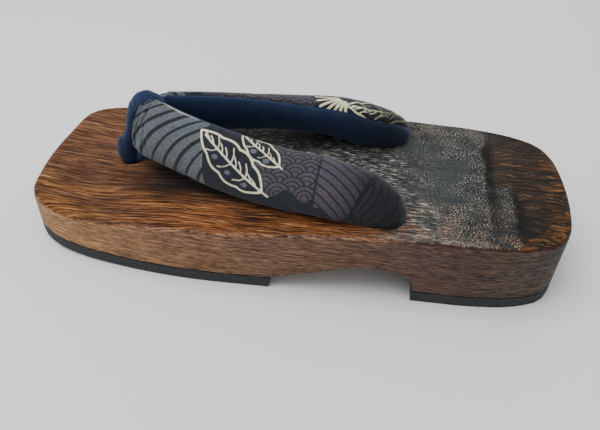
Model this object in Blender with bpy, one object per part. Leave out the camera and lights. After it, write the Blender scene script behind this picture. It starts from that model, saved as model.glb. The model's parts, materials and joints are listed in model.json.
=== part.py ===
"""A man's geta: a one-piece wooden base with an arched underside, rubber sole plates and a padded thong strap.

Metres, +Z up. The toe points along -Y and the heel along +Y. The origin lies on the ground under the middle of the
base. The base, the strap and the loop mirror in the plane X = 0, so the sandal serves either foot.
"""
import math

import bmesh
import bpy
import numpy as np

# Base
LENGTH = 0.262
WIDTH = 0.111
HEEL_HEIGHT = 0.0365
EDGE_ROUND_TOE = 0.0036
EDGE_ROUND_HEEL = 0.0020
HEEL_HOLLOW_DEPTH = 0.0014
HEEL_HOLLOW_WIDTH = 0.080
HEEL_HOLLOW_LENGTH = 0.074
ARCH_HEIGHT = 0.0182
ARCH_FILLET = 0.0140

# Rubber plates
RUBBER_THICKNESS = 0.0060
RUBBER_CORNER = 0.0018
TOE_SPRING = 0.0027
FRONT_SOLE_LENGTH = 0.1263
HEEL_SOLE_LENGTH = 0.0695

# Strap holes
FRONT_HOLE_FROM_TOE = 0.0435
FRONT_HOLE_DIAMETER = 0.0120
REAR_HOLE_AHEAD_OF_HEEL = 0.0140
REAR_HOLE_SPREAD = 0.074
REAR_HOLE_DIAMETER = 0.0110

# Strap: width and thickness of an arm's padded section, height of its middle above the deck at the front
STRAP_WIDTH = 0.0280
STRAP_THICKNESS = 0.0145
STRAP_RISE = 0.0265
STRAP_END_ROUND = 0.0050

# Toe loop: its tube, how deep it presses into the strap's ridge, and how thick it leaves the strap between its legs
LOOP_THICKNESS = 0.0086
LOOP_BITE = 0.0056
LOOP_HOLD = 0.0067

# Knots, and the room round the front one
KNOT_WIDTH = 0.0140
KNOT_CORD = 0.0034
KNOT_ROOM = 0.0045

# Clearance between pieces that touch on the real sandal
FIT = 0.0003
# How far a cutter reaches past what it cuts
OVERCUT = 0.010

# Half width of the base. Columns: share of the length from the toe, share of the half width.
OUTLINE = (
    (0.002, 0.220),
    (0.008, 0.445),
    (0.015, 0.600),
    (0.030, 0.712),
    (0.050, 0.785),
    (0.080, 0.858),
    (0.120, 0.910),
    (0.200, 0.965),
    (0.325, 1.000),
    (0.475, 0.972),
    (0.625, 0.930),
    (0.750, 0.902),
    (0.850, 0.876),
    (0.920, 0.812),
    (0.965, 0.706),
    (0.990, 0.490),
    (0.996, 0.320),
)

# Height of the wood's top. Columns: share of the length from the toe, share of the heel height.
TOP_LINE = (
    (0.00, 0.775),
    (0.11, 0.695),
    (0.25, 0.790),
    (0.45, 0.882),
    (0.67, 0.992),
    (0.87, 1.003),
    (1.00, 0.989),
)

# Where the toe spring begins, as a share of the length from the toe.
SPRING_START = 0.325

# Rise of the arch from the front plate to its crown. Columns: share of the run, share of the rise.
ARCH_LINE = (
    (0.000, 0.00),
    (0.166, 0.22),
    (0.377, 0.48),
    (0.583, 0.76),
    (0.789, 0.95),
    (1.000, 1.00),
)

# One arm of the strap from its front end to the deck above the rear hole. Columns: share of the way from the front
# hole to the rear hole, share of the rear holes' half spread, share of the strap's rise above the deck, shares of the
# strap's width and thickness, lean of the section's long side towards the middle in degrees.
ARM = (
    (0.055, 0.052, 0.97, 0.98, 0.84, 32),
    (0.110, 0.208, 0.89, 1.02, 0.86, 30),
    (0.210, 0.354, 0.78, 1.02, 0.92, 26),
    (0.410, 0.604, 0.63, 1.02, 1.00, 32),
    (0.610, 0.795, 0.53, 1.00, 1.10, 42),
    (0.800, 0.880, 0.41, 0.97, 1.22, 44),
    (0.920, 0.908, 0.22, 0.88, 1.26, 38),
    (0.985, 0.970, 0.03, 0.70, 1.12, 26),
    (1.000, 1.000, -0.18, 0.42, 0.76, 10),
)

# Middle of the toe loop's tube, up its front leg, over the strap and down between the arms. Columns: share of the
# loop's reach behind the front hole, share of its rise above the deck, tube width as a share of its thickness, and how
# flat the tube is, where it bends tightly over the strap, as a share of its width.
LOOP = (
    (-0.16, -0.11, 0.56, 1.00),
    (-0.19, 0.02, 0.80, 1.00),
    (-0.18, 0.15, 1.06, 1.00),
    (-0.12, 0.28, 1.08, 1.00),
    (0.02, 0.40, 0.98, 1.00),
    (0.13, 0.53, 0.94, 1.00),
    (0.19, 0.65, 0.98, 0.96),
    (0.26, 0.79, 1.00, 0.86),
    (0.39, 0.93, 1.00, 0.78),
    (0.59, 1.03, 1.00, 0.72),
    (0.82, 0.99, 1.00, 0.72),
    (0.98, 0.87, 0.98, 0.76),
    (1.03, 0.69, 0.95, 0.88),
    (0.86, 0.43, 0.92, 1.00),
    (0.46, 0.17, 0.86, 1.00),
    (0.18, -0.03, 0.68, 1.00),
    (0.16, -0.14, 0.56, 1.00),
)
# Where the front leg stands, beside the strap's front end, as a share of the loop's reach.
LOOP_FRONT_LEG = 0.19
# How far the loop's neck stays below the deck
NECK_DROP = 0.001
# How far the strap's round front end closes before its flat tip
STRAP_TIP = 0.95
# Half the height between a knot's crossing strands, as a share of its cord
KNOT_SWELL = 0.62
# How far the knot's outer bends reach, in swings of its cord
KNOT_SWINGS = 3

# How finely the surfaces are divided
FINE_STEPS = 12
OUTLINE_POINTS = 120
EDGE_STEPS = 4
TOP_RINGS = (0.10, 0.24, 0.38, 0.52, 0.66, 0.80, 0.91, 1.00)
UNDER_RINGS = (1.00, 0.80, 0.55, 0.30, 0.10)
ARCH_STEPS = 13
FILLET_STEPS = 8
PLATE_STEPS = 25
CORNER_STEPS = 3
HOLE_SIDES = 32
ARM_STATIONS = 34
ARM_SIDES = 20
LOOP_STATIONS = 40
LOOP_SIDES = 12
HALF_A_SIDE = 0.5
NECK_SIDES = 20
KNOT_STATIONS = 42
KNOT_SIDES = 6
# Edges that bend by more degrees than this stay sharp
SHARP_BEND = 40
# Points closer than this are one point
SAME_POINT = 1e-6

toe_y = -LENGTH / 2
front_sole_end = toe_y + FRONT_SOLE_LENGTH
heel_front = LENGTH / 2 - HEEL_SOLE_LENGTH
front_hole_y = toe_y + FRONT_HOLE_FROM_TOE
rear_hole_y = heel_front - REAR_HOLE_AHEAD_OF_HEEL
rear_hole_x = REAR_HOLE_SPREAD / 2
under_heel = RUBBER_THICKNESS + FIT
strap_ridge = STRAP_RISE * ARM[0][2] + STRAP_WIDTH / 2 * ARM[0][3] * math.cos(math.radians(ARM[0][5]))
loop_rise = strap_ridge + LOOP_THICKNESS / 2 - LOOP_BITE
loop_reach = (LOOP_THICKNESS + LOOP_HOLD) / (1 - LOOP_FRONT_LEG)
knot_height = KNOT_CORD * (1 + 2 * KNOT_SWELL)
recess_depth = knot_height + FIT
recess_diameter = KNOT_WIDTH + 2 * KNOT_ROOM


def clear_scene():
    for thing in list(bpy.data.objects):
        bpy.data.objects.remove(thing, do_unlink=True)


def material(name, colour, roughness):
    made = bpy.data.materials.new(name)
    made.use_nodes = True
    shader = made.node_tree.nodes["Principled BSDF"]
    shader.inputs["Base Color"].default_value = (*colour, 1.0)
    shader.inputs["Roughness"].default_value = roughness
    shader.inputs["Metallic"].default_value = 0.0
    return made


def smooth_table(table, at, column=1):
    """Reads a smooth curve through one column of a table, at the given values of its first column."""
    x, y = np.array(table, float)[:, [0, column]].T
    at = np.clip(at, x[0], x[-1])
    slope = np.gradient(y, x)
    k = np.clip(np.searchsorted(x, at, side="right") - 1, 0, len(x) - 2)
    span = x[k + 1] - x[k]
    t = (at - x[k]) / span
    start = (1 + 2 * t) * (1 - t) ** 2 * y[k] + t * (1 - t) ** 2 * span * slope[k]
    end = t * t * (3 - 2 * t) * y[k + 1] - t * t * (1 - t) * span * slope[k + 1]
    return start + end


def smooth_path(points, count):
    """Evenly spaced points along a smooth open curve through the given points; every column is carried along."""
    points = np.array(points, float)
    steps = np.linalg.norm(np.diff(points[:, :3], axis=0), axis=1)
    at = np.concatenate([[0], np.cumsum(steps)])
    fine = np.linspace(0, at[-1], FINE_STEPS * count)
    columns = [smooth_table(np.column_stack([at, column]), fine) for column in points.T]
    curve = np.column_stack(columns)
    run = np.concatenate([[0], np.cumsum(np.linalg.norm(np.diff(curve[:, :3], axis=0), axis=1))])
    even = np.linspace(0, run[-1], count)
    return np.column_stack([np.interp(even, run, column) for column in curve.T])


def top_height(y):
    """Height of the wood's upper edge above the ground."""
    return HEEL_HEIGHT * smooth_table(TOP_LINE, (y - toe_y) / LENGTH)


def spring(y):
    """How far the forefoot's underside has risen from the ground."""
    share = np.clip((SPRING_START - (y - toe_y) / LENGTH) / SPRING_START, 0, 1)
    return TOE_SPRING * share**2


def under_height(y):
    """Height of the wood's underside where rubber lies under it."""
    return spring(y) + under_heel


def heel_hollow(x, y):
    """Depth of the shallow bowl in which the foot's heel lies."""
    across = x / (HEEL_HOLLOW_WIDTH / 2)
    along = (y - heel_front) / (HEEL_HOLLOW_LENGTH / 2)
    near = np.clip(1 - across**2 - along**2, 0, 1)
    return HEEL_HOLLOW_DEPTH * near * near * (3 - 2 * near)


def base_outline():
    """The base seen from above, as points going round anticlockwise, and the unit vector inwards at each."""
    side = [(WIDTH / 2 * half, toe_y + LENGTH * along) for along, half in OUTLINE]
    toe = [(0.0, toe_y)]
    heel = [(0.0, -toe_y)]
    mirrored = [(-x, y) for x, y in reversed(side)]
    loop = toe + side + heel + mirrored
    # Some points are repeated at each end, to carry the curve smoothly across the toe.
    closed = np.array(loop[-3:] + loop + loop[:4])
    flat = np.column_stack([closed, np.zeros(len(closed))])
    fine = smooth_path(flat, FINE_STEPS * OUTLINE_POINTS)[:, :2]
    first = np.argmin(np.linalg.norm(fine[: len(fine) // 3] - toe, axis=1))
    last = len(fine) // 2 + np.argmin(np.linalg.norm(fine[len(fine) // 2 :] - toe, axis=1))
    lap = fine[first : last + 1]
    run = np.concatenate([[0], np.cumsum(np.linalg.norm(np.diff(lap, axis=0), axis=1))])
    even = np.linspace(0, run[-1], OUTLINE_POINTS + 1)[:-1]
    points = np.column_stack([np.interp(even, run, lap[:, 0]), np.interp(even, run, lap[:, 1])])
    along = np.roll(points, -1, axis=0) - np.roll(points, 1, axis=0)
    inward = np.column_stack([-along[:, 1], along[:, 0]])
    return points, inward / np.linalg.norm(inward, axis=1)[:, None]


def new_object(name, bm, finish, smooth=True):
    """Makes an object of a bmesh, with its faces turned outwards."""
    bmesh.ops.recalc_face_normals(bm, faces=bm.faces)
    mesh = bpy.data.meshes.new(name)
    bm.to_mesh(mesh)
    bm.free()
    if smooth:
        mesh.shade_smooth()
        mesh.set_sharp_from_angle(angle=math.radians(SHARP_BEND))
    made = bpy.data.objects.new(name, mesh)
    bpy.context.scene.collection.objects.link(made)
    if finish:
        mesh.materials.append(finish)
    return made


def hide_helper(helper):
    """Keeps a cutting shape out of the sandal."""
    helper.hide_render = True
    helper.display_type = "WIRE"
    return helper


def bridge(bm, rings, closed_ends=True):
    """Joins rings of points by faces, and closes the first and last ring."""
    rows = [[bm.verts.new(point) for point in ring] for ring in rings]
    count = len(rows[0])
    for low, high in zip(rows, rows[1:]):
        for i in range(count):
            j = (i + 1) % count
            bm.faces.new((low[i], low[j], high[j], high[i]))
    if closed_ends:
        bm.faces.new(rows[0])
        bm.faces.new(rows[-1])


def sweep(name, centres, ups, widths, depths, sides, finish, turned=0.0):
    """A closed tube of oval rings; each ring's long side follows its `up`. The rings can be turned by part of a side."""
    tangents = np.gradient(centres, axis=0)
    tangents /= np.linalg.norm(tangents, axis=1)[:, None]
    ups = ups - (ups * tangents).sum(axis=1)[:, None] * tangents
    ups /= np.linalg.norm(ups, axis=1)[:, None]
    across = np.cross(tangents, ups)
    turn = (np.arange(sides) + turned) * 2 * math.pi / sides
    long_side = np.cos(turn)[None, :, None] * ups[:, None, :] * widths[:, None, None] / 2
    short_side = np.sin(turn)[None, :, None] * across[:, None, :] * depths[:, None, None] / 2
    bm = bmesh.new()
    bridge(bm, centres[:, None, :] + long_side + short_side)
    return new_object(name, bm, finish)


def cut(target, tool, operation="DIFFERENCE", self_crossing=False):
    """Adds a Boolean to an object, with a helper that stays out of the sandal."""
    modifier = target.modifiers.new(f"{operation.lower()} {tool.name}", "BOOLEAN")
    modifier.operation = operation
    modifier.solver = "EXACT"
    modifier.use_self = self_crossing
    modifier.object = hide_helper(tool)


def cylinder(name, x, y, low, high, diameter, sides=HOLE_SIDES):
    """An upright cylinder, used to cut holes and to join necks."""
    turn = np.linspace(0, 2 * math.pi, sides, endpoint=False)
    ring = np.column_stack([x + diameter / 2 * np.cos(turn), y + diameter / 2 * np.sin(turn)])
    bm = bmesh.new()
    bridge(bm, [np.column_stack([ring, np.full(sides, z)]) for z in (low, high)])
    return new_object(name, bm, None, smooth=False)


def profile_bar(name, profile, finish):
    """A bar that runs right across the sandal, with the given side profile as (y, z) points."""
    reach = WIDTH / 2 + OVERCUT
    bm = bmesh.new()
    bridge(bm, [[(x, y, z) for y, z in profile] for x in (-reach, reach)])
    return new_object(name, bm, finish)


def outline_prism(name, points):
    """An upright block with the base's outline, taller than the sandal."""
    bm = bmesh.new()
    levels = (-OVERCUT, HEEL_HEIGHT + OVERCUT)
    bridge(bm, [np.column_stack([points, np.full(len(points), z)]) for z in levels])
    return new_object(name, bm, None, smooth=False)


def arch_height(y):
    """Height of the arch's ceiling: a smooth rise to the crown, then a fillet down to the heel."""
    crown_y = heel_front - ARCH_FILLET
    share = smooth_table(ARCH_LINE, (y - front_sole_end) / (crown_y - front_sole_end))
    past_crown = np.clip((y - crown_y) / ARCH_FILLET, 0, 1)
    return under_heel + (ARCH_HEIGHT - under_heel) * share * np.sqrt(1 - past_crown**2)


def arch_profile():
    """Side profile of what is cut away under the middle of the base."""
    crown_y = heel_front - ARCH_FILLET
    ramp = np.linspace(front_sole_end, crown_y, ARCH_STEPS + 1)
    fillet = crown_y + ARCH_FILLET * np.sin(np.linspace(0, math.pi / 2, FILLET_STEPS + 1)[1:])
    y = np.concatenate([ramp, fillet])
    return [(front_sole_end, -OVERCUT), *zip(y, arch_height(y)), (heel_front, -OVERCUT)]


def wood_block(name, points, inward, lift, finish):
    """The base before anything is cut: flat underneath, upright walls, rounded top edge; the top lifted if asked."""
    along = (points[:, 1] - toe_y) / LENGTH
    edge_round = EDGE_ROUND_TOE + (EDGE_ROUND_HEEL - EDGE_ROUND_TOE) * along
    spine_reach = LENGTH / 2 - WIDTH / 2
    spine = np.column_stack([np.zeros(len(points)), np.clip(points[:, 1], -spine_reach, spine_reach)])
    rings = []
    for share in UNDER_RINGS:
        flat = points + (spine - points) * share
        rings.append(np.column_stack([flat, under_height(flat[:, 1])]))
    rings.append(np.column_stack([points, under_height(points[:, 1])]))
    for angle in np.linspace(0, math.pi / 2, EDGE_STEPS + 1):
        flat = points + inward * (edge_round * (1 - math.cos(angle)))[:, None]
        drop = edge_round * (1 - math.sin(angle))
        rings.append(np.column_stack([flat, top_height(flat[:, 1]) + lift - drop]))
    rim = points + inward * edge_round[:, None]
    for share in TOP_RINGS:
        flat = rim + (spine - rim) * share
        height = top_height(flat[:, 1]) + lift - heel_hollow(flat[:, 0], flat[:, 1])
        rings.append(np.column_stack([flat, height]))
    bm = bmesh.new()
    bridge(bm, rings, closed_ends=False)
    bmesh.ops.remove_doubles(bm, verts=bm.verts, dist=SAME_POINT)
    bmesh.ops.dissolve_degenerate(bm, edges=bm.edges, dist=SAME_POINT)
    return new_object(name, bm, finish)


def cut_strap_holes(body, name, spare):
    """Cuts the front hole and the two rear holes, made narrower all round by the spare."""
    above = HEEL_HEIGHT + OVERCUT
    front = FRONT_HOLE_DIAMETER - 2 * spare
    rear = REAR_HOLE_DIAMETER - 2 * spare
    cut(body, cylinder(f"{name}_front_hole", 0, front_hole_y, -OVERCUT, above, front))
    for side in (-1, 1):
        hole_name = f"{name}_rear_hole_{side}"
        cut(body, cylinder(hole_name, side * rear_hole_x, rear_hole_y, -OVERCUT, above, rear))


def deck(points, inward, finish):
    """The wooden base with the arch, the holes and the front knot's recess cut out."""
    body = wood_block("deck", points, inward, 0, finish)
    cut(body, profile_bar("arch_cutter", arch_profile(), None))
    cut_strap_holes(body, "deck", 0)
    ceiling = under_height(front_hole_y) + recess_depth
    cut(body, cylinder("recess_cutter", 0, front_hole_y, -OVERCUT, ceiling, recess_diameter))


def resting_block(points, inward):
    """What the cloth may not enter: the wood and a thin gap round it. The strap and the loop are cut by it."""
    block = wood_block("resting_block", points, inward, FIT, None)
    cut_strap_holes(block, "resting", FIT)
    return block


def sole_plate(name, profile, points, finish):
    """A rubber plate with the base's outline between two heights of its side profile."""
    plate = profile_bar(name, profile, finish)
    cut(plate, outline_prism(f"{name}_outline", points), "INTERSECT")
    return plate


def front_profile():
    """Side profile of the front plate: flat, rising under the toe, with its rear lower corner rounded."""
    y = np.linspace(toe_y - OVERCUT, front_sole_end - RUBBER_CORNER, PLATE_STEPS + 1)
    low = [(a, spring(a)) for a in y]
    turn = np.linspace(0, math.pi / 2, CORNER_STEPS + 1)[1:]
    corner = [(y[-1] + RUBBER_CORNER * math.sin(a), RUBBER_CORNER * (1 - math.cos(a))) for a in turn]
    high = [(front_sole_end, RUBBER_THICKNESS)] + [(a, spring(a) + RUBBER_THICKNESS) for a in y[::-1]]
    return low + corner + high


def heel_profile():
    back = LENGTH / 2 + OVERCUT
    return [(heel_front, 0), (back, 0), (back, RUBBER_THICKNESS), (heel_front, RUBBER_THICKNESS)]


def rear_knot_top():
    """Height of a rear knot's top, clear of the arch's ceiling where the fillet comes down behind the hole."""
    return float(arch_height(rear_hole_y + KNOT_WIDTH / 2))


def strap_arm(name, side, finish):
    """One padded arm of the strap, on the side given by its sign, from its round front end into the rear hole."""
    reach = rear_hole_y - front_hole_y
    rows = []
    for along, out, rise, width, thick, lean in ARM:
        y = front_hole_y + reach * along
        z = float(top_height(y)) + STRAP_RISE * rise
        rows.append((side * rear_hole_x * out, y, z, STRAP_WIDTH * width, STRAP_THICKNESS * thick, lean))
    neck = REAR_HOLE_DIAMETER - 2 * FIT
    rows.append((side * rear_hole_x, rear_hole_y, rear_knot_top() + FIT, neck, neck, 0))
    path = smooth_path(rows, ARM_STATIONS)
    centres, widths, depths = path[:, :3], path[:, 3], path[:, 4]
    lean = np.radians(path[:, 5])
    run = np.concatenate([[0], np.cumsum(np.linalg.norm(np.diff(centres, axis=0), axis=1))])
    near_end = np.clip(1 - run / STRAP_END_ROUND, 0, STRAP_TIP)
    shrink = np.sqrt(1 - near_end**2)
    ups = np.column_stack([-side * np.sin(lean), np.zeros(len(lean)), np.cos(lean)])
    return sweep(name, centres, ups, widths * shrink, depths * shrink, ARM_SIDES, finish)


def loop_path():
    """Middle of the toe loop's tube and the tube's size."""
    base = float(top_height(front_hole_y))
    rows = [
        (0, front_hole_y + loop_reach * behind, base + loop_rise * up, LOOP_THICKNESS * size, flatness)
        for behind, up, size, flatness in LOOP
    ]
    return smooth_path(rows, LOOP_STATIONS)


def loop_tube(name, spare, finish):
    """The toe loop's tube, made thicker all round by the spare; no corner of its rings lies on the middle plane."""
    path = loop_path()
    ups = np.tile((1.0, 0.0, 0.0), (len(path), 1))
    widths = path[:, 3]
    depths = widths * path[:, 4]
    return sweep(name, path[:, :3], ups, widths + 2 * spare, depths + 2 * spare, LOOP_SIDES, finish, HALF_A_SIDE)


def knot(name, x, y, top, finish):
    """A cord tied in a simple knot, hanging just under the given height."""
    t = np.linspace(0, 2 * math.pi, KNOT_STATIONS, endpoint=False)
    swing = (KNOT_WIDTH - KNOT_CORD) / 2 / KNOT_SWINGS
    depth = KNOT_CORD * KNOT_SWELL
    centres = np.column_stack(
        [
            x + swing * (np.sin(t) + (KNOT_SWINGS - 1) * np.sin(2 * t)),
            y + swing * (np.cos(t) - (KNOT_SWINGS - 1) * np.cos(2 * t)),
            top - KNOT_CORD / 2 - depth - depth * np.sin(3 * t),
        ]
    )
    tangents = np.roll(centres, -1, axis=0) - np.roll(centres, 1, axis=0)
    tangents /= np.linalg.norm(tangents, axis=1)[:, None]
    across = np.cross(tangents, (0, 0, 1))
    across /= np.linalg.norm(across, axis=1)[:, None]
    ups = np.cross(across, tangents)
    turn = np.linspace(0, 2 * math.pi, KNOT_SIDES, endpoint=False)
    ring = np.cos(turn)[None, :, None] * ups[:, None, :] + np.sin(turn)[None, :, None] * across[:, None, :]
    rings = centres[:, None, :] + ring * KNOT_CORD / 2
    bm = bmesh.new()
    bridge(bm, np.concatenate([rings, rings[:1]]), closed_ends=False)
    bmesh.ops.remove_doubles(bm, verts=bm.verts, dist=SAME_POINT)
    return new_object(name, bm, finish)


def build():
    clear_scene()
    wood = material("burnt_wood", (0.155, 0.075, 0.038), 0.42)
    rubber = material("crumb_rubber", (0.022, 0.024, 0.028), 0.85)
    print_cloth = material("printed_cloth", (0.105, 0.105, 0.125), 0.88)
    navy = material("navy_knit", (0.012, 0.026, 0.082), 0.92)
    cotton = material("cotton_cord", (0.035, 0.033, 0.036), 0.9)

    points, inward = base_outline()
    deck(points, inward, wood)
    block = resting_block(points, inward)

    front = sole_plate("sole_front", front_profile(), points, rubber)
    over_rubber = RUBBER_THICKNESS + TOE_SPRING + OVERCUT
    cut(front, cylinder("knot_opening_cutter", 0, front_hole_y, -OVERCUT, over_rubber, recess_diameter))
    sole_plate("sole_heel", heel_profile(), points, rubber)

    strap = strap_arm("strap", 1, print_cloth)
    cut(strap, strap_arm("strap_other_arm", -1, None), "UNION")
    # Where the arms cross, the loop lies over both of them.
    cut(strap, loop_tube("loop_groove_cutter", FIT, None), self_crossing=True)
    cut(strap, block)

    loop = loop_tube("toe_loop", 0, navy)
    neck_top = float(top_height(front_hole_y)) - NECK_DROP
    recess_top = float(under_height(front_hole_y)) + recess_depth
    neck_diameter = FRONT_HOLE_DIAMETER - 2 * FIT
    neck = cylinder("loop_neck", 0, front_hole_y, recess_top, neck_top, neck_diameter, NECK_SIDES)
    cut(loop, neck, "UNION")
    cut(loop, block)

    knot("knot_front", 0, front_hole_y, recess_top - FIT, cotton)
    for side, label in ((1, "left"), (-1, "right")):
        knot(f"knot_rear_{label}", side * rear_hole_x, rear_hole_y, rear_knot_top(), cotton)


build()
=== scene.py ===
# %% [markdown]
# # A burnt-wood geta, dressed round its CAD frame
#
# A geta is a Japanese wooden sandal. This one is cut from one block, arched underneath, with two rubber plates
# glued below and a padded cloth strap that comes up through three holes. The CAD model already has its true sizes.
# This lesson loads it, and then gives every piece the shape and the finish that a person would see.

# %% Load the frame
import contextlib
import json
import math

import bpy
import numpy as np
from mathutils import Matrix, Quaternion, Vector, noise
from mathutils.kdtree import KDTree

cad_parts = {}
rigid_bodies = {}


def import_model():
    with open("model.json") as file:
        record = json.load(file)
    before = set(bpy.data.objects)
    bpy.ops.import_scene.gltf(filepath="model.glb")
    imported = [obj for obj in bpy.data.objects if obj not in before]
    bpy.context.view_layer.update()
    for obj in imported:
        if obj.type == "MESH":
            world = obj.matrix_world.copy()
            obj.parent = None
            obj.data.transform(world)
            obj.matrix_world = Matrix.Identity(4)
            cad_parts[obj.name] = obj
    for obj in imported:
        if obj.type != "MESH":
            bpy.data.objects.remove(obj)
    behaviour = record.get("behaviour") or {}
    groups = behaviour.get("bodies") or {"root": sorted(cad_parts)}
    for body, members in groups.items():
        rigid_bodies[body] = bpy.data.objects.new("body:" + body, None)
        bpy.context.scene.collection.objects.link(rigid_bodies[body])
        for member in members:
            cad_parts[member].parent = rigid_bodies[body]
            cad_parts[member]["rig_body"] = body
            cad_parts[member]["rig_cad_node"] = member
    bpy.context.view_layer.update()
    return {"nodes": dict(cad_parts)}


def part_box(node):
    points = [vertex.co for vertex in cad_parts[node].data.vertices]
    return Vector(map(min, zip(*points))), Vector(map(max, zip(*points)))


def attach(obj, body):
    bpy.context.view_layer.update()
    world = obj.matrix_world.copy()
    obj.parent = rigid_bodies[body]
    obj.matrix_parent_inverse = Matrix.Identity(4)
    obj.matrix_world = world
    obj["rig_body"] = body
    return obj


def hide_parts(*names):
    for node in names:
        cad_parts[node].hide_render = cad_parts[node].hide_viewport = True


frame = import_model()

MM = 0.001
print("CAD nodes:", ", ".join(sorted(frame["nodes"])))

# %% [markdown]
# ## The camera
#
# The camera looks at the sandal from its left side and from well above, about a third of a metre away. Its place was
# found by fitting the outlines of the base. It could be aimed with a constraint, but a turn worked out from two
# angles and a small roll is easier to read, and it stays put.

# %% Camera
CAMERA_PLACE = (0.2438, 0.0345, 0.2117)
CAMERA_AZIMUTH = 97.67
CAMERA_ELEVATION = 40.62
CAMERA_ROLL = 2.16
SENSOR_AND_LENS = 36.0

azimuth, elevation = math.radians(CAMERA_AZIMUTH), math.radians(CAMERA_ELEVATION)
level = math.cos(elevation)
back = Vector((math.sin(azimuth) * level, -math.cos(azimuth) * level, math.sin(elevation)))
lens = bpy.data.cameras.new("camera")
lens.lens = SENSOR_AND_LENS
lens.sensor_width = SENSOR_AND_LENS
lens.clip_start = 0.01
camera = bpy.data.objects.new("camera", lens)
bpy.context.scene.collection.objects.link(camera)
camera.location = CAMERA_PLACE
camera.rotation_mode = "QUATERNION"
level_turn = (-back).to_track_quat("-Z", "Y")
camera.rotation_quaternion = level_turn @ Quaternion((0, 0, 1), math.radians(CAMERA_ROLL))
bpy.context.scene.camera = camera
print("camera looks along", tuple(round(n, 3) for n in -back))

# %% [markdown]
# ## Floor and light
#
# Lacquered wood shows its brushed grain only where something bright mirrors in it. So there is a soft white room all
# round, one large lamp overhead, and a lower, weaker one beyond the far side, where the heel mirrors it towards the
# camera. A floor plane under the sandal takes the shadow.


# %% Floor and lamps
def lamp(name, place, target, size, watts):
    """A flat lamp that faces its target."""
    light = bpy.data.lights.new(name, "AREA")
    light.shape = "RECTANGLE"
    light.size, light.size_y = size
    light.energy = watts
    made = bpy.data.objects.new(name, light)
    bpy.context.scene.collection.objects.link(made)
    made.location = place
    made.rotation_mode = "QUATERNION"
    made.rotation_quaternion = (Vector(target) - Vector(place)).to_track_quat("-Z", "Y")


world = bpy.data.worlds.new("white room")
world.use_nodes = True
background = world.node_tree.nodes["Background"].inputs
background["Color"].default_value = (1, 1, 1, 1)
background["Strength"].default_value = 0.62
bpy.context.scene.world = world

lamp("overhead lamp", (0.15, -0.35, 0.95), (0, 0, 0.02), (0.8, 0.8), 9.0)
lamp("sheen lamp", (-0.62, 0.26, 0.5), (0, 0.05, 0.03), (0.34, 0.4), 0.9)

bpy.ops.object.select_all(action="DESELECT")
bpy.ops.mesh.primitive_plane_add(size=8, location=(0, 0, 0))
floor = bpy.context.object
floor.name = "floor"

# %% [markdown]
# ## Writing materials as maths
#
# A material here is a chain of small sums: this much grain, times that much wear. Wiring each sum by hand takes many
# lines. A small class wraps a socket, so that `grain * 2 + wear` adds the Math nodes by itself, and a second class
# holds one material and adds any other node.


# %% Material classes
def sum_of(operation, swapped=False):
    """A method that adds one Math node to a value's material."""

    def work(value, *others):
        inputs = (*others, value) if swapped else (value, *others)
        return value.finish.node("ShaderNodeMath", {"operation": operation}, dict(enumerate(inputs)))

    return work


class Value:
    """One output of a material's nodes, with the arithmetic that this lesson uses."""

    def __init__(self, finish, socket):
        self.finish = finish
        self.socket = socket

    __add__ = __radd__ = sum_of("ADD")
    __sub__ = sum_of("SUBTRACT")
    __rsub__ = sum_of("SUBTRACT", swapped=True)
    __mul__ = __rmul__ = sum_of("MULTIPLY")
    __truediv__ = sum_of("DIVIDE")
    absolute = sum_of("ABSOLUTE")
    sine = sum_of("SINE")

    def step(self, low, high):
        """0 below the low value, 1 above the high one, and a soft rise between."""
        settings = {"interpolation_type": "SMOOTHSTEP"}
        return self.finish.node("ShaderNodeMapRange", settings, {0: self, 1: low, 2: high})

    def fall(self, low, high):
        """1 below the low value, 0 above the high one."""
        return 1.0 - self.step(low, high)

    def wave(self):
        """A sine that runs from 0 to 1."""
        return self.sine() * 0.5 + 0.5


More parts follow.
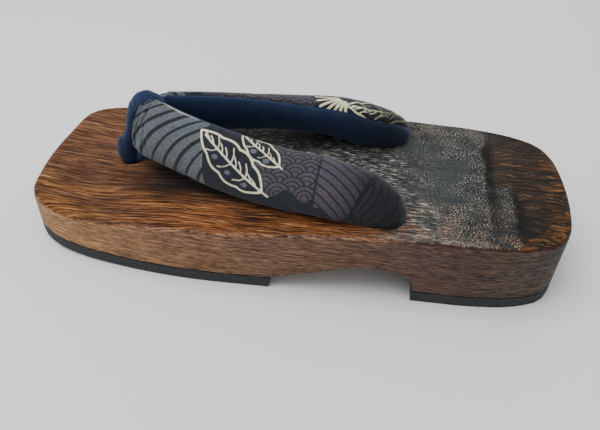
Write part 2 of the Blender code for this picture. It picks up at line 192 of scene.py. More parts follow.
class Finish:
    """One material: its nodes, and the few that every finish needs."""

    def __init__(self, name, **constants):
        self.material = bpy.data.materials.new(name)
        self.material.use_nodes = True
        self.tree = self.material.node_tree
        self.shader = self.tree.nodes["Principled BSDF"]
        for socket, value in constants.items():
            self.shader.inputs[socket.replace("_", " ")].default_value = value

    def node(self, kind, settings, inputs, output=0):
        """Adds a node, sets it up, and gives or links the values of its sockets."""
        made = self.tree.nodes.new(kind)
        for key, value in settings.items():
            if key == "stops":
                ramp = made.color_ramp
                ramp.elements.remove(ramp.elements[0])
                ramp.elements[0].position = value[0][0]
                ramp.elements[0].color = (*value[0][1], 1.0)
                for place, colour in value[1:]:
                    ramp.elements.new(place).color = (*colour, 1.0)
            else:
                setattr(made, key, value)
        for key, value in inputs.items():
            if isinstance(value, Value):
                self.tree.links.new(value.socket, made.inputs[key])
            else:
                made.inputs[key].default_value = value
        return Value(self, made.outputs[output])

    def place(self):
        """Where a point lies on the sandal, in millimetres."""
        metres = self.node("ShaderNodeTexCoord", {}, {}, "Object")
        return self.node("ShaderNodeVectorMath", {"operation": "SCALE"}, {0: metres, "Scale": 1000.0})

    def part(self, vector, axis):
        return self.node("ShaderNodeSeparateXYZ", {}, {0: vector}, axis)

    def noise(self, vector, detail=3.0, roughness=0.55):
        inputs = {"Vector": vector, "Scale": 1.0, "Detail": detail, "Roughness": roughness}
        return self.node("ShaderNodeTexNoise", {}, inputs)

    def grain(self, x, y, z, detail=3.0, roughness=0.55):
        """A noise that is squeezed or stretched its own way along each axis."""
        return self.noise(self.node("ShaderNodeCombineXYZ", {}, {0: x, 1: y, 2: z}), detail, roughness)

    def attribute(self, name):
        return self.node("ShaderNodeAttribute", {"attribute_name": name}, {}, "Fac")

    def mix(self, share, first, second, blend="MIX"):
        """A colour between two colours."""
        colours = [c if isinstance(c, Value) else (*c, 1.0) for c in (first, second)]
        settings = {"data_type": "RGBA", "blend_type": blend}
        return self.node("ShaderNodeMix", settings, {0: share, 6: colours[0], 7: colours[1]}, 2)

    def coats(self, colour, *coats):
        """Lays coats over a colour, each with the share that it covers and its own colour."""
        for share, coat in coats:
            colour = self.mix(share, colour, coat)
        return colour

    def ramp(self, share, stops):
        return self.node("ShaderNodeValToRGB", {"stops": stops}, {0: share})

    def bump(self, height, depth, strength):
        """Feeds a height, 0 to 1, to the shader's normal; the depth is in metres."""
        inputs = {"Strength": strength, "Distance": depth, "Height": height}
        self.give("Normal", self.node("ShaderNodeBump", {}, inputs))

    def give(self, socket, value):
        self.tree.links.new(value.socket, self.shader.inputs[socket])


print("material classes ready")

# %% [markdown]
# The floor is the first finish: pale plaster with a faint mottle, so that it doesn't look like paper.

# %% Floor finish
plaster = Finish("pale_floor", Roughness=0.9)
mottle = plaster.noise(plaster.node("ShaderNodeTexCoord", {}, {}, "Object"), detail=4.0)
plaster.give("Base Color", plaster.mix(mottle, (0.88, 0.88, 0.88), (0.92, 0.92, 0.92)))
floor.data.materials.append(plaster.material)
print("floor finish:", plaster.material.name)

# %% [markdown]
# ## Helpers for pieces
#
# So each step first selects its one piece. A CAD node's own mesh is loose triangles and must stay as it is: a copy
# is merged, and the copy is what gets shaped. The same lines end every piece: it gets its finishes, it rides on the
# frame, and it stands for its CAD node, which is hidden.


# %% Piece helpers
def only(piece):
    """Selects one object alone and makes it the active one."""
    bpy.ops.object.select_all(action="DESELECT")
    piece.select_set(True)
    bpy.context.view_layer.objects.active = piece


@contextlib.contextmanager
def editing(piece, everything=True):
    """Edit mode on one piece, for the lines under a `with`, with all of it selected or what was marked before."""
    only(piece)
    bpy.ops.object.mode_set(mode="EDIT")
    if everything:
        bpy.ops.mesh.select_all(action="SELECT")
    yield
    bpy.ops.object.mode_set(mode="OBJECT")


def merged_copy(node, name):
    """A copy of a CAD node, with its loose triangles merged into one skin."""
    piece = frame["nodes"][node].copy()
    piece.data = piece.data.copy()
    piece.name = name
    piece.parent = None
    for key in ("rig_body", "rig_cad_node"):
        del piece[key]
    bpy.context.scene.collection.objects.link(piece)
    with editing(piece):
        bpy.ops.mesh.remove_doubles(threshold=1e-6)
    piece.data.materials.clear()
    return piece


def apply(piece, kind, **settings):
    """Adds one modifier and applies it."""
    modifier = piece.modifiers.new(kind.lower(), kind)
    for key, value in settings.items():
        setattr(modifier, key, value)
    only(piece)
    bpy.ops.object.modifier_apply(modifier=modifier.name)


def rows_of(piece, name):
    """One row of three numbers for each of the piece's points."""
    flat = np.empty(len(piece.data.vertices) * 3)
    piece.data.vertices.foreach_get(name, flat)
    return flat.reshape(-1, 3)


def points_of(piece):
    """The piece's points in millimetres."""
    return rows_of(piece, "co") / MM


def move_points(piece, points):
    piece.data.vertices.foreach_set("co", (points * MM).ravel())
    piece.data.update()


def paint(piece, name, values):
    """Stores one number at each point, for a material to read."""
    made = piece.data.attributes.new(name, "FLOAT", "POINT")
    made.data.foreach_set("value", np.asarray(values, np.float32))


def dress(piece, finishes, slot, *nodes, padding=None):
    """The last lines of every piece."""
    only(piece)
    bpy.ops.object.shade_smooth()
    for finish in finishes:
        piece.data.materials.append(finish.material)
    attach(piece, "root")
    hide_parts(*nodes)
    triangles = sum(len(face.vertices) - 2 for face in piece.data.polygons)
    print(f"{piece.name}: {triangles} triangles, stands for {', '.join(nodes)}")


def rise(values, low, high):
    """The soft step of the materials, for numbers."""
    share = np.clip((values - low) / (high - low), 0, 1)
    return share * share * (3 - 2 * share)


def nearest_among(points):
    """A tree that quickly finds the nearest of the given points."""
    tree = KDTree(len(points))
    for number, point in enumerate(points):
        tree.insert(point, number)
    tree.balance()
    return tree


def smooth_between(places, rows, at):
    """A smooth curve through rows of numbers that are known at some places."""
    slope = np.gradient(rows, places, axis=0)
    k = np.clip(np.searchsorted(places, at, side="right") - 1, 0, len(places) - 2)
    span = (places[k + 1] - places[k])[:, None]
    t = (at - places[k])[:, None] / span
    start = (1 + 2 * t) * (1 - t) ** 2 * rows[k] + t * (1 - t) ** 2 * span * slope[k]
    return start + (t * t * (3 - 2 * t) * rows[k + 1] - t * t * (1 - t) * span * slope[k + 1])


print("piece helpers ready")

# %% [markdown]
# ## The wooden base
#
# The real base is sawn, burnt with a torch and brushed, so its soft grain is worn away and its hard grain stands up.
# Carving strokes left two shallow steps across the heel, and a fainter one before them. A copy of the CAD block gets
# an even skin from a voxel remesh, and is drawn back onto the block, so that only the very edges stay broken, as
# sandpaper leaves them. Then its points are moved. The block was shaped by hand, and the right corner of its toe is
# squarer than the left one, which the even CAD block doesn't show. The finest grain is left to the material.

# %% Base shape
SKIN = 0.0009
REAR_HOLE = (37.0, 47.5)
FRONT_HOLE = (0.0, -87.5)
HOLE_MOUTH = 9.0
# Carved steps across the heel: where along the base, from and to across it, how deep, how wide.
CARVED_STEPS = ((93.0, -34, 33, 0.55, 2.6), (104.0, 2, 44, 0.45, 2.2), (75.0, -26, 20, 0.28, 4.5))
RIDGE_TOE = 0.1
RIDGE_HEEL = 0.24
# How far the right corner of the toe is pushed out, in millimetres.
TOE_PUSH = 3.5


def squarer_toe(points):
    """Pushes the right corner of the toe outwards, inside the CAD box."""
    push = TOE_PUSH * rise(-points[:, 1], 84, 112) * rise(-points[:, 0], 8, 34)
    points[:, 0] -= push * 0.85
    points[:, 1] -= push * 0.45
    return points


base = merged_copy("deck", "wooden_base")
pattern = merged_copy("deck", "pattern")
apply(base, "REMESH", mode="VOXEL", voxel_size=SKIN)
apply(base, "SHRINKWRAP", target=pattern, wrap_method="NEAREST_SURFACEPOINT")
bpy.data.objects.remove(pattern)
base_points = squarer_toe(points_of(base))
base_normals = rows_of(base, "normal")
x, y, z = base_points.T
print("base skin:", len(base_points), "points")

# %% [markdown]
# Wear follows the rim, so each point needs its distance from the top's edge. The upper points of the upright wall,
# away from the holes, are put in a search tree, which finds the nearest one for every point.

# %% Distance from the rim
# The wall's points have nearly level normals and lie at least this high, in millimetres.
LEVEL_NORMAL = 0.25
WALL_FROM = 19
holes = (FRONT_HOLE, REAR_HOLE, (-REAR_HOLE[0], REAR_HOLE[1]))
far_from_holes = np.all([np.hypot(x - hx, y - hy) > HOLE_MOUTH for hx, hy in holes], axis=0)
is_wall = (np.abs(base_normals[:, 2]) < LEVEL_NORMAL) & (z > WALL_FROM) & far_from_holes
wall_tree = nearest_among(base_points[is_wall] * (1, 1, 0))
rim = np.array([wall_tree.find((px, py, 0.0))[2] for px, py in zip(x, y)])
print("deepest point from the rim, in mm:", round(float(rim.max()), 1))

# %% [markdown]
# Ridges are two noises, stretched along the grain. They are higher at the heel, which was brushed harder. A carved
# step is a soft dip across the base, and its line wanders a little, as a hand does.

# %% Ridges and carved steps
top = rise(base_normals[:, 2], 0.55, 0.9) * rise(rim, 0.5, 4.0)
along = [noise.noise(Vector((px * 0.42 + 3.0, py * 0.022, 7.0))) for px, py in zip(x, y)]
fine = [noise.noise(Vector((px * 0.16, py * 0.05, 2.0))) for px, py in zip(x, y)]
ridge = RIDGE_TOE + (RIDGE_HEEL - RIDGE_TOE) * rise(y, 20, 95)
lift = top * ridge * (np.array(along) + 0.6 * np.array(fine))
for place, low, high, depth, width in CARVED_STEPS:
    wander = 1.6 * np.sin(x * 0.11 + place)
    across = rise(x, low - 6, low + 4) * (1 - rise(x, high - 4, high + 6))
    lift -= top * across * depth * np.exp(-(((y - place - wander) / width) ** 2))
base_points[:, 2] += lift
move_points(base, base_points)
paint(base, "rim", rim)
print("points moved by up to", round(float(np.abs(lift).max()), 2), "mm")

# %% [markdown]
# ## Burnt and brushed wood
#
# The colour changes along the base: warm brown at the toe, nearly black where the torch was held, with painted
# shadow under the strap, a grey-green glaze on the middle whose grey is partly a painted reflection of the sheen,
# and black with orange ridges at the heel. One grain pattern runs through it all. It is a noise that is squeezed
# across the base and stretched along it, with its lines bent a little by a second, slower noise. Masks by place then
# choose the colours that the grain runs between.

# %% Grain
wood = Finish("burnt_wood", IOR=1.5, Specular_IOR_Level=0.16, Coat_IOR=1.5, Coat_Roughness=0.3)
spot = wood.place()
wx, wy, wz = (wood.part(spot, axis) for axis in "XYZ")
slow = wood.grain(wx * 0.018, wy * 0.011, wz * 0.02, detail=2.0) - 0.5
curl = wood.grain(wx * 0.085, wy * 0.04, wz * 0.05, detail=2.0) - 0.5
ripple = wood.grain(wx * 0.21, wy * 0.11, 4.0, detail=2.0) - 0.5
# The heel's dark wood begins at the first carved step. On the left half the glaze goes on to the second one.
first_line = wy - CARVED_STEPS[0][0] - curl * 6.0 - ripple * 3.0
second_line = wy - CARVED_STEPS[1][0] + curl * 5.0 - ripple * 3.0
between = (wx + curl * 30.0).step(-6, 14) * second_line.fall(-1.0, 2.2)
heel = first_line.step(-1.0, 2.2) * (1.0 - between * 0.8)
wavy = wx.step(26, 42) * wy.step(-60, -10)
bent_x = wx + slow * 16.0 + curl * (heel * 6.0 + 2.0) + ripple * (heel * 4.0 + wavy * 2.4 + 0.8)
facing = wood.node("ShaderNodeNewGeometry", {}, {}, "Normal")
upward = wood.part(facing, "Z").step(0.3, 0.75)
rim_distance = wood.attribute("rim")

broad_grain = wood.grain(bent_x * 0.3, wy * 0.016, wz * 0.1)
top_grain = wood.grain(bent_x * 2.2, wy * 0.036, wz * 0.25, detail=4.0, roughness=0.62)
fine_grain = wood.grain(bent_x * 2.8, wy * 0.085, wz * 0.5, detail=2.0, roughness=0.6)
wall_grain = wood.grain(wx * 0.06, wy * 0.06, wz * 1.6 + slow * 6.0 + wy * 0.05, detail=4.0)
wall_fine = wood.grain(wx * 0.24, wy * 0.24, wz * 3.2 + slow * 9.0 + wy * 0.12, detail=2.0)
blotch = wood.grain(wx * 0.045, wy * 0.022, wz * 0.03)
heel_grain = wood.grain(bent_x * 1.45, wy * 0.06, 9.0, roughness=0.6)
lines = top_grain.step(0.41, 0.59)
hair = fine_grain.step(0.38, 0.6)
pores = fine_grain.fall(0.4, 0.49)
glints = fine_grain.step(0.52, 0.66) * lines
print("grain nodes:", len(wood.tree.nodes))

# %% [markdown]
# The masks follow the real sandal: the glaze reaches further towards the toe between the strap's arms than along the
# near edge, so its border runs aslant.

# %% Where each colour lies
jitter = (blotch - 0.5) * 50.0 + (hair - 0.5) * 10.0
near_side = wx.step(18, 42)
glaze_and_sheen = (wy - near_side * 84.0 + jitter).step(-52, -22)
burnt_and_shadow = (wy + jitter * 0.9).step(-90, -54)
amber_side = wx.step(14, 36) * wy.fall(-20, 40)

amber = wood.coats((0.09, 0.028, 0.008), (lines, (0.49, 0.19, 0.055)), (glints * 0.55, (0.78, 0.46, 0.2)))
toe_colour = wood.coats(
    (0.058, 0.02, 0.008),
    (lines, (0.345, 0.142, 0.058)),
    (glints * 0.5, (0.6, 0.34, 0.18)),
    (amber_side * broad_grain.step(0.34, 0.58), amber),
    (pores * 0.8, (0.016, 0.007, 0.005)),
    (broad_grain.fall(0.36, 0.52) * 0.35, (0.05, 0.03, 0.022)),
)
near_burnt = wood.coats(
    (0.012, 0.0045, 0.0025),
    (lines * (hair * 0.5 + 0.5), (0.43, 0.145, 0.042)),
    (glints * 0.5, (0.76, 0.42, 0.19)),
)
# Nearly black on the far side: partly burnt wood, partly painted shadow under the strap.
far_burnt_and_shadow = wood.mix(lines * hair, (0.003, 0.0022, 0.002), (0.038, 0.024, 0.016))
burnt_and_shadow_colour = wood.mix(wx.step(24, 38), far_burnt_and_shadow, near_burnt)
# The glaze's grey-green is partly its own tone and partly a painted reflection of the sheen.
plain_glaze_and_sheen = wood.mix(lines * 0.6 + hair * 0.4, (0.0035, 0.004, 0.004), (0.06, 0.066, 0.061))
ridges = heel_grain.step(0.5, 0.61) * (broad_grain.step(0.4, 0.6) * 0.85 + 0.15)
heel_dark = wood.mix(hair, (0.002, 0.0014, 0.001), (0.028, 0.016, 0.009))
ridged = wood.mix(ridges, heel_dark, (0.135, 0.066, 0.028))
print("colours of the top, from toe to heel: brown, burnt, glazed, ridged")

# %% [markdown]
# Pale flecks on the ridges of the glaze are partly worn lacquer and partly painted glints. Just inside the rim lies
# a dark red line, with broken pale marks that are partly worn lacquer and partly a painted highlight of the rounded
# edge. Painted shade darkens the carved steps across the heel, and the wood under the far arm.

# %% Flecks, rim and steps
pebbles = wood.grain(wx * 1.75 + ripple * 5.0, wy * 1.3, 1.0, detail=1.0, roughness=0.6)
dashes = wood.grain(bent_x * 1.5, wy * 0.2, 2.0, detail=2.0, roughness=0.6)
pebbled = (wy - wx * 0.35 + jitter * 0.3).step(48, 66)
patches = wood.grain(wx * 0.16, wy * 0.1, 6.0, roughness=0.6)
bright = patches.step(0.36, 0.62) * 0.75 + 0.25
# Pale flecks: partly worn lacquer, partly painted glints of the glossy glaze.
wear_and_glint_flecks = (pebbles.step(0.52, 0.66) * pebbled + dashes.step(0.51, 0.62) * (1.0 - pebbled)) * bright
pits = pebbles.fall(0.4, 0.52)
smooth_patch = blotch.step(0.53, 0.61) * pebbled * first_line.fall(-12, -2)
brown_patch = (wx.step(12, 30) + rim_distance.fall(6, 22) * 0.7) * patches.step(0.42, 0.58)
# Painted shadow of the far arm on the glaze.
painted_arm_shadow = (wx + 24.0).absolute().fall(5, 13) * wy.step(-30, -5) * wy.fall(40, 54)
glaze_and_sheen_colour = wood.coats(
    plain_glaze_and_sheen,
    (brown_patch * 0.7, (0.12, 0.06, 0.034)),
    (smooth_patch * 0.65, (0.052, 0.062, 0.066)),
    (pits * pebbled * (0.85 - smooth_patch * 0.5), (0.003, 0.0035, 0.004)),
    (wear_and_glint_flecks * (0.9 - smooth_patch * 0.6), (0.56, 0.57, 0.515)),
    (painted_arm_shadow * (0.9 - wear_and_glint_flecks * 0.4), (0.003, 0.0035, 0.005)),
)

heel_edge = rim_distance.fall(2, 15) * (wx * 0.55 + wy).step(100, 126) * patches.step(0.34, 0.52)
heel_bright = wood.mix(heel_grain.step(0.47, 0.58), (0.008, 0.004, 0.0025), (0.36, 0.14, 0.028))
heel_colour = wood.coats(
    ridged,
    (heel_edge * (broad_grain.step(0.38, 0.56) * 0.7 + 0.2), heel_bright),
    # Grey flecks on the heel: partly worn lacquer, partly painted glints.
    (wear_and_glint_flecks * first_line.fall(0, 20) * 0.45, (0.19, 0.19, 0.17)),
)
near_heel = wx.step(14, 34) * wy.step(84, 98) * (1.0 - heel_edge)
# Painted shade in the carved steps across the heel.
first_shade = first_line.step(-1.8, 0.4) * first_line.fall(1.4, 6.5) * (1.0 - between * 0.2)
second_shade = second_line.step(-1.8, 0.4) * second_line.fall(1.4, 6.5) * wx.step(0, 10)
painted_step_shade = (first_shade + second_shade) * wx.absolute().fall(30, 42)
rim_band = rim_distance.fall(1.2, 2.6)
# Pale broken line on the toe's rounded rim: partly wear, partly a painted highlight of the edge.
toe_rim_wear_and_highlight = rim_band * wx.step(20, 40) * wy.fall(48, 62) * wy.step(-100, -50)
broken = wood.grain(wy * 0.42, rim_distance * 1.9, wx * 0.2, roughness=0.7).step(0.46, 0.58)
back_rim = rim_distance.fall(0.7, 1.5) * wy.step(44, 60)
# Pale broken band inside the heel's rim: partly wear, partly a painted highlight of the edge.
rim_wear_and_highlight = rim_distance.step(1.0, 1.8) * rim_distance.fall(2.4, 5.0) * wy.step(40, 52)
rim_wear_and_highlight = rim_wear_and_highlight * wy.fall(74, 98) * wx.step(10, 30) * broken * bright
top_colour = wood.coats(
    toe_colour,
    (burnt_and_shadow, burnt_and_shadow_colour),
    (glaze_and_sheen, glaze_and_sheen_colour),
    (heel, heel_colour),
    (near_heel * 0.45, (0.006, 0.004, 0.003)),
    (painted_step_shade * (1.0 - wear_and_glint_flecks * 0.3), (0.002, 0.0018, 0.0016)),
    (toe_rim_wear_and_highlight * broken * 0.6, (0.38, 0.25, 0.19)),
    (rim_wear_and_highlight * 0.8, (0.33, 0.315, 0.28)),
    (back_rim * 0.85, (0.046, 0.013, 0.007)),
)
print("nodes so far:", len(wood.tree.nodes))

# %% [markdown]
# The side walls were sanded and only stained, so their grain is fine and level. They are palest at the toe and
# greyer round the heel, partly from the stain and partly from painted light and shade, and a few gold specks lie
# beside the heel.

# %% Walls, gloss and relief
# Wall colour from toe to heel: partly the stain's tone, partly painted light and shade.
WALL_COLOUR_AND_LIGHT_STOPS = (
    (0.01, (0.215, 0.158, 0.112)),
    (0.07, (0.325, 0.19, 0.108)),
    (0.16, (0.27, 0.15, 0.085)),
    (0.42, (0.16, 0.092, 0.064)),
    (0.66, (0.112, 0.067, 0.053)),
    (0.82, (0.074, 0.049, 0.045)),
    (0.93, (0.066, 0.053, 0.05)),
    (1.0, (0.072, 0.069, 0.068)),
)
wall_base_and_light = wood.ramp((wy + 131.0) / 262.0, WALL_COLOUR_AND_LIGHT_STOPS)
wall_tone = wall_grain.step(0.36, 0.64) * 0.45 + wall_fine.step(0.38, 0.62) * 0.55
wall_shade = wood.ramp(wall_tone, ((0.0, (0.32,) * 3), (0.5, (0.9,) * 3), (1.0, (1.9,) * 3)))
wall_colour = wood.mix(1.0, wall_base_and_light, wall_shade, "MULTIPLY")
wall_warmth = wood.mix(blotch.step(0.4, 0.6), (1.0, 0.96, 0.94), (1.06, 1.0, 0.84))
wall_colour = wood.mix(1.0, wall_colour, wall_warmth, "MULTIPLY")
specks = wall_fine.step(0.56, 0.66) * wy.step(84, 96) * wy.fall(112, 122)
wall_colour = wood.mix(specks * 0.55, wall_colour, (0.22, 0.12, 0.04))
wood.give("Base Color", wood.mix(upward, wall_colour, top_colour))

gloss = glaze_and_sheen * (1.0 - heel * 0.5)
wood.give("Roughness", 0.7 - upward * (0.14 + gloss * 0.16) + (1.0 - lines) * 0.06)
wood.give("Coat Weight", upward * gloss * wear_and_glint_flecks * 0.12)
top_relief = lines * 0.5 + hair * 0.3 + wear_and_glint_flecks * gloss * 0.4
relief = wood.node(
    "ShaderNodeMix", {"data_type": "FLOAT"}, {0: upward, 2: wall_grain * 0.35 + wall_fine * 0.15, 3: top_relief}
)
wood.bump(relief, 0.0006, 0.9)
dress(base, [wood], "burnt_wood", "deck")

# %% [markdown]
# ## The rubber plates
#
# The plates are cut from sheet that is pressed from rubber crumbs, and sanded flush with the wood, which rounds
# their lower corners. The CAD plates have the right shape but knife-sharp lower corners. On a merged copy, the flat
# parts are joined into single faces, the edges that touch the ground are selected, and a bevel rounds them.

# %% Rubber plates
CORNER = 0.0006
# Edges this near to the front hole belong to the plate's round cut-out, and stay sharp.
CUT_OUT = 13
rubber = Finish("crumb_rubber", Roughness=0.85, IOR=1.5)
rspot = rubber.place()
crumbs = rubber.node("ShaderNodeTexVoronoi", {"feature": "F1"}, {"Vector": rspot, "Scale": 1.15})
dust = rubber.noise(rspot, detail=4.0, roughness=0.7)
shade = rubber.mix(crumbs.step(0.2, 0.9), (0.011, 0.013, 0.016), (0.03, 0.034, 0.038))
rubber.give("Base Color", rubber.mix(dust.step(0.6, 0.75) * 0.5, shade, (0.06, 0.064, 0.066)))
rubber.bump(crumbs * 0.6 + dust * 0.6, 0.00035, 0.8)


def rounded_plate(node, name):
    """A rubber plate whose lower outer corners are rounded."""
    plate = merged_copy(node, name)
    move_points(plate, squarer_toe(points_of(plate)))
    with editing(plate):
        bpy.ops.mesh.dissolve_limited(angle_limit=math.radians(0.6))
    mesh = plate.data
    faces_at = {}
    for face in mesh.polygons:
        for key in face.edge_keys:
            faces_at.setdefault(key, []).append(face.normal.z)
    for part in (mesh.vertices, mesh.edges, mesh.polygons):
        part.foreach_set("select", [False] * len(part))
    marked = 0
    for edge in mesh.edges:
        ups = sorted(faces_at.get(edge.key, []))
        middle = (mesh.vertices[edge.vertices[0]].co + mesh.vertices[edge.vertices[1]].co) / 2 / MM
        hole = math.hypot(middle.x - FRONT_HOLE[0], middle.y - FRONT_HOLE[1]) < CUT_OUT
        if len(ups) == 2 and ups[0] < -0.9 and abs(ups[1]) < 0.3 and not hole:
            edge.select = True
            marked += 1
    with editing(plate, everything=False):
        bpy.ops.mesh.select_mode(type="EDGE")
        bpy.ops.mesh.bevel(offset=CORNER, segments=3, profile=0.5, affect="EDGES")
    print(name, "has", marked, "rounded edges")
    dress(plate, [rubber], "crumb_rubber", node)
    bpy.ops.object.shade_smooth_by_angle(angle=math.radians(35))


rounded_plate("sole_front", "forefoot_rubber")
rounded_plate("sole_heel", "heel_rubber")

# %% [markdown]
# ## Rolling flat cloth into a padded tube
#
# A strap's arm is made from a flat strip of cloth, rolled round cotton stuffing. The same works here: a flat grid is
# added, and each of its points is moved to its place on the rolled tube. Its two numbers on the flat cloth, along
# and across, stay with each point, so a print drawn on the flat cloth follows the roll.


# %% Roll a grid into a tube
def length_along(points):
    """How far along a line each of its points lies."""
    return np.concatenate([[0], np.cumsum(np.linalg.norm(np.diff(points[:, :3], axis=0), axis=1))])


def smooth_path(rows, count):
    """Evenly spaced stations along a smooth curve through the given rows."""
    rows = np.array(rows, float)
    at = length_along(rows)
    curve = smooth_between(at, rows, np.linspace(0, at[-1], 12 * count))
    run = length_along(curve)
    even = np.linspace(0, run[-1], count)
    return np.column_stack([np.interp(even, run, column) for column in curve.T]), even


def ways_across(centres, ups):
    """At each station of a tube: the long way and the short way of its section."""
    tangents = np.gradient(centres, axis=0)
    tangents /= np.linalg.norm(tangents, axis=1)[:, None]
    ups = ups - (ups * tangents).sum(axis=1)[:, None] * tangents
    ups /= np.linalg.norm(ups, axis=1)[:, None]
    return ups, np.cross(tangents, ups)


def rolled_cloth(name, surface):
    """A grid whose points are moved onto a tube; `surface` is an array of rings of points, in millimetres."""
    rings, sides = surface.shape[:2]
    bpy.ops.object.select_all(action="DESELECT")
    bpy.ops.mesh.primitive_grid_add(x_subdivisions=rings - 1, y_subdivisions=sides - 1, size=2)
    piece = bpy.context.object
    piece.name = name
    flat = points_of(piece) * MM
    ring = np.rint((flat[:, 0] + 1) / 2 * (rings - 1)).astype(int)
    side = np.rint((flat[:, 1] + 1) / 2 * (sides - 1)).astype(int)
    move_points(piece, surface[ring, side])
    return piece, ring, side


def close_roll(piece):
    """Sews the roll's long edges together and closes its two ends."""
    with editing(piece):
        bpy.ops.mesh.remove_doubles(threshold=2e-6)
        bpy.ops.mesh.select_all(action="DESELECT")
        bpy.ops.mesh.select_mode(type="VERT")
        bpy.ops.mesh.select_non_manifold()
        bpy.ops.mesh.edge_face_add()
        bpy.ops.mesh.poke()
        bpy.ops.mesh.select_all(action="SELECT")
        bpy.ops.mesh.normals_make_consistent(inside=False)


print("rolling helpers ready")

# %% [markdown]
# ## The toe loop
#
# The loop is a thin padded tube of navy knit. It comes up in front of the strap, bulges above the hole, is pinched
# at half height, lies over the strap's ridge and goes back down between the arms. Its stations are close to those of
# its CAD solid. Where the tube is pinched or bends sharply, the knit gathers in rings of small folds.

# %% Toe loop shape
# Stations of the loop: across and along the base, height and tube width, all in millimetres, and how flat it is.
LOOP = (
    (-1.2, -90.0, 20.4, 5.0, 1.0),
    (-0.6, -90.3, 25.0, 7.6, 1.0),
    (-0.2, -90.4, 29.2, 10.6, 1.0),
    (-0.1, -89.8, 34.8, 10.2, 1.0),
    (0.0, -87.6, 39.8, 7.0, 1.0),
    (0.0, -85.6, 44.6, 6.8, 1.0),
    (0.0, -84.0, 49.7, 8.0, 0.96),
    (0.0, -82.7, 54.7, 8.6, 0.88),
    (0.0, -80.13, 59.7, 10.4, 0.76),
    (0.0, -76.35, 63.0, 12.2, 0.62),
    (0.0, -72.01, 61.9, 12.0, 0.6),
    (0.0, -68.99, 57.6, 10.2, 0.7),
    (0.0, -68.04, 51.1, 8.2, 0.88),
    (0.0, -71.6, 41.7, 8.6, 1.0),
    (-1.0, -79.6, 33.0, 9.8, 1.0),
    (-1.5, -84.4, 25.1, 5.9, 1.0),
    (-1.5, -84.48, 20.4, 4.8, 1.0),
)
# How far the knit droops at the sides of the ridge.
DROOP = 0.055
# Folds round the loop: how far along it, how deep, how wide, how far they slant, in millimetres.
LOOP_FOLDS = ((15.5, 0.75, 1.2, 2.6), (19.0, 0.45, 0.8, -2.0), (11.5, 0.35, 0.9, 1.8), (40.0, 0.35, 1.1, 1.5))
LOOP_FOLDS += ((44.5, 0.4, 1.0, -1.2), (50.0, 0.35, 1.2, 1.4), (24.0, 0.25, 1.0, 1.2), (7.0, 0.4, 0.9, -1.4))
LOOP_RINGS = 230
LOOP_SIDES = 60
# The cloth's width for one radian round the loop, in millimetres.
LOOP_RADIUS = 4.3

stations, loop_run = smooth_path(LOOP, LOOP_RINGS)
loop_centres, loop_sizes, loop_flatness = stations[:, :3], stations[:, 3], stations[:, 4]
loop_ups, loop_across = ways_across(loop_centres, np.tile((1.0, 0.0, 0.0), (LOOP_RINGS, 1)))
turn = np.linspace(0, 2 * math.pi, LOOP_SIDES)
pressed = np.zeros((LOOP_RINGS, LOOP_SIDES))
for place, depth, width, slant in LOOP_FOLDS:
    offset = loop_run[:, None] - place - slant * np.sin(turn + place)[None, :]
    pressed += depth * np.exp(-((offset / width) ** 2)) * (0.7 + 0.3 * np.cos(turn * 3 + place))[None, :]
wide = loop_sizes[:, None] / 2 - pressed
deep = loop_sizes[:, None] * loop_flatness[:, None] / 2 - pressed
loop_surface = loop_centres[:, None] + loop_ups[:, None] * (np.cos(turn)[None, :] * wide)[..., None]
loop_surface = loop_surface + loop_across[:, None] * (np.sin(turn)[None, :] * deep)[..., None]
loop_surface[..., 2] -= DROOP * loop_surface[..., 0] ** 2 * rise(loop_centres[:, 2], 54, 61)[:, None]
loop, ring, side = rolled_cloth("toe_loop_knit", loop_surface)
paint(loop, "cloth_along", loop_run[ring])
paint(loop, "cloth_across", turn[side] * LOOP_RADIUS)
close_roll(loop)
print("loop length:", round(float(loop_run[-1]), 1), "mm")

# %% [markdown]
# ## Navy knit
#
# The loop and the lining of the strap are the same soft jersey: fine ribs that run round the tube, each rib a row of
# small stitches. The ribs read the cloth's own numbers, so they bend with it. A little sheen gives the bloom of a
# cotton knit.

# %% Knit finish
# Width of a rib and length of a stitch, in millimetres.
RIB, STITCH = 0.95, 0.75
knit = Finish("navy_knit", Roughness=0.93, Sheen_Weight=0.35, Sheen_Roughness=0.5, Specular_IOR_Level=0.2)
knit.shader.inputs["Sheen Tint"].default_value = (0.36, 0.46, 0.76, 1.0)
k_along = knit.attribute("cloth_along")
k_across = knit.attribute("cloth_across")
ribs = (k_along * (2 * math.pi / RIB)).wave()
stitches = (k_across * (2 * math.pi / STITCH) + (k_along * (math.pi / RIB)).sine() * 1.6).wave()
fuzz = knit.noise(knit.place(), detail=5.0, roughness=0.75)
pile = knit.grain(k_along * 0.16, k_across * 0.16, 3.0, detail=2.0)
tone = ribs * 0.35 + stitches * 0.25 + fuzz * 0.5
knit_colour = knit.coats(
    (0.0035, 0.0075, 0.024),
    (tone.step(0.1, 1.0), (0.017, 0.035, 0.09)),
    (pile.step(0.45, 0.75) * 0.35, (0.024, 0.045, 0.102)),
    # Painted shade on the last stretch of the cloth, where it goes down towards its hole.
    (k_along.step(84, 126) * 0.85, (0.0015, 0.003, 0.007)),
)
knit.give("Base Color", knit_colour)
knit.bump(ribs * 0.5 + stitches * 0.3 + fuzz * 0.35, 0.00022, 0.7)
dress(loop, [knit], "navy_knit", "toe_loop", padding=0.8)

# %% [markdown]
# ## The strap's arms
#
# Each arm is as wide as two fingers and is flatter on the foot's side. Where the printed cloth meets the lining, the
# seam pulls in along the upper and the lower edge. The cloth gathers in front, where the loop ties both arms
# together, and again where the arm dives into its hole. Those creases are listed, in millimetres from the front. A
# simulation would make others, in places that can't be chosen, so none is run on so small and firm a pad.

